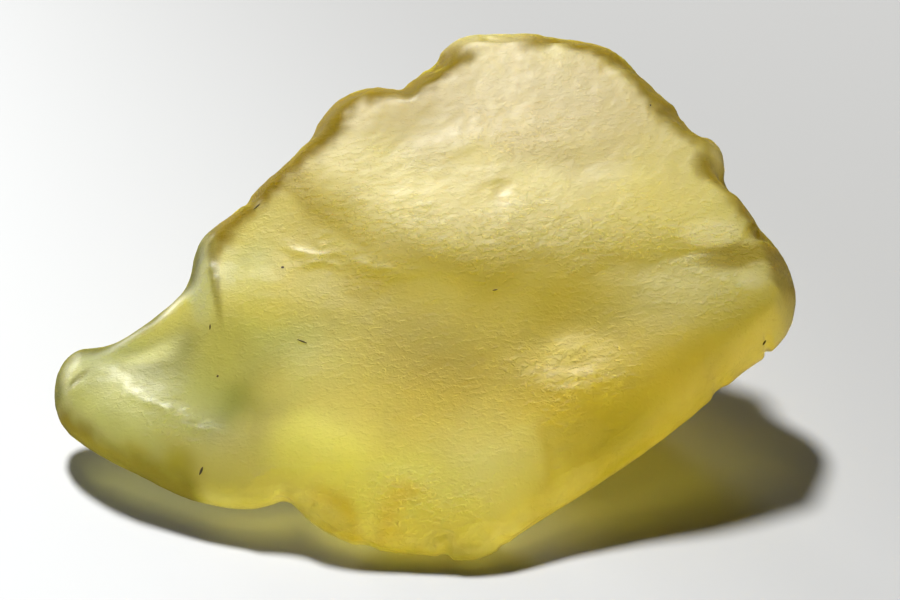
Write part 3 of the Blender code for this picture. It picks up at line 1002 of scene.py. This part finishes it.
@dataclass
class GlassChip:
    """The chip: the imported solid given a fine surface."""

    finish: FrostedGlass = field(default_factory=FrostedGlass)
    grain: WindGrain = field(default_factory=WindGrain)
    rim: ShadedAmberRim = field(default_factory=ShadedAmberRim)
    fineness: float = 0.235  # size of the fine surface's faces, mm
    quick_coarseness: float = 1.5
    weld: float = 0.001  # mm
    smoothing: int = 3
    marks_facing: Range = (0.05, 0.4)  # how squarely the marked side faces the front
    mark_wear: float = 0.8  # how unevenly the marks are worn
    mark_wear_size: float = 0.8  # mm
    least_worn: float = 0.75
    front_facing: Range = (-0.2, 0.3)  # from the back's colours to the front's
    firm_edge: float = 6.0  # a patch with a firmer border than this keeps its drawn place
    wander_size: float = 3.4  # mm
    wander_reach: float = 2.0
    wander_seed: float = 17.3
    above_crest: float = 5.0  # how far the wrinkles reach up from the crest, mm
    below_crest: float = 2.8
    least_wrinkled: float = 0.12

    def build(self) -> bpy.types.Object:
        """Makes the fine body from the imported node.

        Returns:
            The chip's object.
        """
        chip = self.fine_copy()
        self.sculpt(chip.data)
        skin = self.skin(chip.data)
        shift = wander(skin.points, self.wander_size, self.wander_reach, self.wander_seed)
        strayed = Skin(skin.points + shift, skin.normals)
        self.colour(chip.data, skin, strayed)
        self.wrinkle(chip.data, strayed)
        self.grain.wear(chip, self.finish.material())
        chip.data.shade_smooth()
        return chip

    def fine_copy(self) -> bpy.types.Object:
        """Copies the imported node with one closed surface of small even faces.

        Returns:
            The copy's object.
        """
        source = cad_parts[NODE]
        mesh = source.data.copy()
        mesh.transform(source.matrix_world)
        shape = bmesh.new()
        shape.from_mesh(mesh)
        bmesh.ops.remove_doubles(shape, verts=shape.verts, dist=self.weld * MM)
        shape.to_mesh(mesh)
        shape.free()
        chip = linked_object("glass_chip", mesh)
        even = chip.modifiers.new("Even", "REMESH")
        even.mode = "VOXEL"
        even.voxel_size = self.fineness * 1.0 * MM
        smooth = chip.modifiers.new("Smooth", "SMOOTH")
        smooth.iterations = self.smoothing
        chip.data = plain_mesh(chip)
        chip.modifiers.clear()
        return chip

    def skin(self, mesh: bpy.types.Mesh) -> Skin:
        """Reads a mesh.

        Args:
            mesh: the chip's mesh.

        Returns:
            Its points and normals in the face's frame.
        """
        count = len(mesh.vertices)
        points, normals = np.empty(count * 3), np.empty(count * 3)
        mesh.vertices.foreach_get("co", points)
        mesh.vertex_normals.foreach_get("vector", normals)
        return Skin(FACE.points(points.reshape(-1, 3)), FACE.directions(normals.reshape(-1, 3)))

    def sculpt(self, mesh: bpy.types.Mesh) -> None:
        """Works the marks into the broad face and the notches into its outline.

        Args:
            mesh: the fine body.
        """
        skin = self.skin(mesh)
        worn = self.least_worn + self.mark_wear * soft_noise(skin.points, self.mark_wear_size)
        lift = sum(
            mark.rise(skin) * (1.0 if mark.kind is Kind.SWELL else worn) for mark in MARKS
        )
        moved = skin.points + skin.normals * (lift * skin.facing(self.marks_facing))[:, None]
        _, out = Outline().measure(skin)
        bite = sum(notch.rise(skin) for notch in NOTCHES)
        moved[:, :2] -= out * bite[:, None]
        mesh.vertices.foreach_set("co", FACE.world(moved).astype(np.float32).ravel())
        mesh.update()

    def colour(self, mesh: bpy.types.Mesh, skin: Skin, strayed: Skin) -> None:
        """Stores the glass's colour, with its painted shade, highlights and glow, and its dull
        places on the mesh.

        Args:
            mesh: the fine body.
            skin: its surface.
            strayed: the same, with a soft random shift.
        """
        front = skin.facing(self.front_facing)[:, None]
        tone = np.array(BACK_PLAIN) * (1.0 - front) + np.array(PLAIN) * front
        for patches, side in ((TONES_AND_PAINTED_LIGHT, front), (BACK_TONES, 1.0 - front)):
            for patch, colour in patches.items():
                share = patch.weight(skin if patch.edge >= self.firm_edge else strayed)
                tone += (np.array(colour) - tone) * share[:, None] * side
        tone, dull = self.rim.paint(tone, skin, strayed)
        for patch in DULL:
            dull = np.maximum(dull, patch.weight(skin) * front[:, 0])
        rgba = np.ones((len(tone), 4), np.float32)
        rgba[:, :3] = np.clip(tone, 0.0, 1.0)
        made = mesh.attributes.new(TONE, "FLOAT_COLOR", "POINT")
        made.data.foreach_set("color", rgba.ravel())
        store_values(mesh, EDGE, dull)

    def wrinkle(self, mesh: bpy.types.Mesh, strayed: Skin) -> None:
        """Stores how wrinkled the skin is, most of all along the crest.

        Args:
            mesh: the fine body.
            strayed: its surface, with a soft random shift.
        """
        x, y, _ = strayed.points.T
        above = y - np.interp(x, CREST_X, CREST_Y)
        wrinkled = smooth_step(-self.below_crest, 0.0, above)
        wrinkled *= 1.0 - smooth_step(0.0, self.above_crest, above)
        for patch in CRINKLE_PATCHES:
            wrinkled = np.maximum(wrinkled, patch.weight(strayed))
        wrinkled *= strayed.facing(self.front_facing)
        store_values(mesh, CRINKLE, np.maximum(wrinkled, self.least_wrinkled))

    def dress(self, chip: bpy.types.Object) -> None:
        """Ties the chip to the frame.

        Args:
            chip: the fine body.
        """
        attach(chip, BODY)
        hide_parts(NODE)


@dataclass
class Grit:
    """Dust lying on the chip, or specks sealed just under its skin."""

    name: str
    grains: tuple[Grain, ...]
    finish: DarkGrit = field(default_factory=DarkGrit)
    fineness: int = 3
    bend: float = 0.35  # how crooked the grains are, as a share of their width
    bend_scale: float = 2.2
    bedding: float = 0.35  # height of a lying grain's middle, as a share of its width
    above: float = 40.0  # where the search for the skin starts, mm

    def tree(self) -> bpy.types.NodeTree:
        """Builds the grains on their points.

        Returns:
            The Geometry Nodes tree.
        """
        inputs = {
            "Fineness": "NodeSocketInt",
            "Bend": "NodeSocketFloat",
            "Grit": "NodeSocketMaterial",
        }
        tree, nodes, given = new_geometry_tree(self.name, inputs)
        ball = nodes.add(
            "GeometryNodeMeshIcoSphere", {}, {"Radius": 0.5, "Subdivisions": given["Fineness"]}
        )[0]
        place = nodes.add("GeometryNodeInputPosition", {}, {})[0]
        rough = nodes.add(
            "ShaderNodeTexNoise", {}, {"Vector": place, "Scale": self.bend_scale, "Detail": 1.0}
        )["Color"]
        centred = nodes.add(
            "ShaderNodeVectorMath", {"operation": "SUBTRACT"}, {0: rough, 1: (0.5, 0.5, 0.5)}
        )[0]
        crooked = nodes.add(
            "ShaderNodeVectorMath",
            {"operation": "SCALE"},
            {"Vector": centred, "Scale": given["Bend"]},
        )[0]
        lump = nodes.add("GeometryNodeSetPosition", {}, {"Geometry": ball, "Offset": crooked})[0]
        vector = {"data_type": "FLOAT_VECTOR"}
        size = nodes.add("GeometryNodeInputNamedAttribute", vector, {"Name": "size"})[0]
        angles = nodes.add("GeometryNodeInputNamedAttribute", vector, {"Name": "angles"})[0]
        turned = nodes.add("FunctionNodeEulerToRotation", {}, {0: angles})[0]
        grains = nodes.add(
            "GeometryNodeInstanceOnPoints",
            {},
            {"Points": given[0], "Instance": lump, "Rotation": turned, "Scale": size},
        )[0]
        end_geometry_tree(nodes, grains, given["Grit"])
        return tree

    def build(self, chip: bpy.types.Object) -> bpy.types.Object:
        """Puts the grains on the chip's skin.

        Args:
            chip: the finished chip.

        Returns:
            The grains, as one object.
        """
        bpy.context.view_layer.update()
        skin = BVHTree.FromObject(chip, bpy.context.evaluated_depsgraph_get())
        to_world = Matrix.Rotation(math.radians(FACE.lean), 3, "X")
        places, sizes, angles = [], [], []
        for grain in self.grains:
            start = Vector(FACE.world(np.array([grain.x, grain.y, self.above])))
            spot, normal, _, _ = skin.ray_cast(start, to_world @ Vector((0.0, 0.0, -1.0)))
            if spot is None:
                raise ValueError(f"{grain} lies beside the chip")
            turn = math.radians(grain.turn)
            along = to_world @ Vector((math.cos(turn), math.sin(turn), 0.0))
            across = normal.cross(along).normalized()
            along = across.cross(normal)
            lift = -grain.sunk if grain.sunk else self.bedding * grain.width
            places.append(spot + normal * (lift * MM))
            sizes.append((grain.length * MM, grain.width * MM, grain.width * MM))
            angles.append(Matrix((along, across, normal)).transposed().to_euler())
        points = bpy.data.meshes.new(self.name)
        points.from_pydata(places, [], [])
        for label, rows in (("size", sizes), ("angles", angles)):
            numbers = np.array([tuple(row) for row in rows], np.float32).ravel()
            made = points.attributes.new(label, "FLOAT_VECTOR", "POINT")
            made.data.foreach_set("vector", numbers)
        grit = linked_object(self.name, points)
        values = {"Fineness": self.fineness, "Bend": self.bend, "Grit": self.finish.material()}
        run_tree(grit, self.tree(), values)
        grit.data.shade_smooth()
        return grit

    def dress(self, grit: bpy.types.Object) -> None:
        """Ties the grains to the chip's body."""
        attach(grit, BODY)


@dataclass(frozen=True)
class SoftLight:
    """A round soft light, placed by its direction from the chip."""

    name: str
    power: float  # watts
    size: float
    distance: float
    towards: Triple

    def build(self) -> None:
        """Hangs the light, facing the chip."""
        towards = Vector(self.towards).normalized()
        lamp = bpy.data.lights.new(self.name, "AREA")
        lamp.shape = "DISK"
        lamp.size = self.size
        lamp.energy = self.power
        light = linked_object(self.name, lamp)
        light.location = towards * self.distance
        light.rotation_euler = towards.to_track_quat("Z", "Y").to_euler()


@dataclass
class Studio:
    """Pale floor, soft light and the camera."""

    floor_size: float = 3.0
    key: SoftLight = SoftLight("key_light", 35.0, 0.17, 1.2, (-0.18, 0.47, 0.86))
    low: SoftLight = SoftLight("low_light", 11.0, 0.2, 1.2, (-0.55, 0.83, 0.12))
    sky: Paint = (0.95, 0.98, 1.0, 1.0)
    sky_strength: float = 0.025
    haze_strength: float = 0.40  # of the band just over the horizon
    haze_top: Range = (0.06, 0.26)  # heights between which it fades into the sky
    lens: float = 90.0
    elevation: float = 35.0  # degrees
    distance: float = 0.1586
    nearest: float = 0.01  # what the camera still sees
    aim: Triple = (1.9 * MM, -7.5 * MM, 3.6 * MM)

    def world(self) -> bpy.types.World:
        """Makes a dim sky with a pale band over the horizon.

        Returns:
            The world.
        """
        made = bpy.data.worlds.new("studio")
        nodes = shader_nodes(made)
        way = nodes.add("ShaderNodeTexCoord", {}, {})["Generated"]
        up = nodes.add("ShaderNodeSeparateXYZ", {}, {"Vector": way})["Z"]
        strength = nodes.add(
            "ShaderNodeMapRange",
            {"interpolation_type": "SMOOTHSTEP"},
            {
                "Value": up,
                "From Min": self.haze_top[0],
                "From Max": self.haze_top[1],
                "To Min": self.haze_strength,
                "To Max": self.sky_strength,
            },
        )["Result"]
        glow = {"Color": self.sky, "Strength": strength}
        background = nodes.add("ShaderNodeBackground", {}, glow)
        nodes.add("ShaderNodeOutputWorld", {}, {"Surface": background[0]})
        return made

    def build(self, low: Vector, high: Vector) -> None:
        """Makes the stage round the object's box.

        Args:
            low: the box's lowest corner.
            high: its highest corner.
        """
        bpy.ops.mesh.primitive_plane_add(size=self.floor_size, location=(0.0, 0.0, low.z))
        floor = bpy.context.object
        floor.name = "floor"
        floor.data.materials.append(PalePaper().material())
        floor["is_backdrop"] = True
        self.key.build()
        self.low.build()
        bpy.context.scene.world = self.world()
        camera = linked_object("camera", bpy.data.cameras.new("camera"))
        camera.data.lens = self.lens
        camera.data.clip_start = self.nearest
        tilt = math.radians(self.elevation)
        back = Vector((0.0, -math.cos(tilt), math.sin(tilt)))
        camera.location = (low + high) / 2 + Vector(self.aim) + back * self.distance
        camera.rotation_euler = back.to_track_quat("Z", "Y").to_euler()
        bpy.context.scene.camera = camera


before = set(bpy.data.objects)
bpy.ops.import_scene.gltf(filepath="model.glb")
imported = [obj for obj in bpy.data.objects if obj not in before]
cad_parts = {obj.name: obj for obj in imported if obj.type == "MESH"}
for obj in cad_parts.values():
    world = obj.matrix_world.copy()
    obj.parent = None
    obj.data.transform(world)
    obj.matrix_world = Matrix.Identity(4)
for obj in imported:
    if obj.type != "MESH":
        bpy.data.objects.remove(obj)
CAD_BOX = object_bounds()


def main() -> None:
    """Builds the chip and its stage, and reports each piece."""
    logging.basicConfig(level=logging.INFO, format="%(message)s")
    bpy.context.scene.view_settings.view_transform = "Standard"
    chip_maker = GlassChip()
    chip = chip_maker.build()
    chip_maker.dress(chip)
    LOG.info("%s: %d faces", chip.name, len(chip.data.polygons))
    for grit_maker in (Grit("surface_dust", DUST), Grit("sealed_specks", SPECKS)):
        grit = grit_maker.build(chip)
        grit_maker.dress(grit)
        LOG.info("%s: %d faces", grit.name, len(grit.data.polygons))
    Studio().build(*CAD_BOX)


if __name__ == "__main__":
    main()
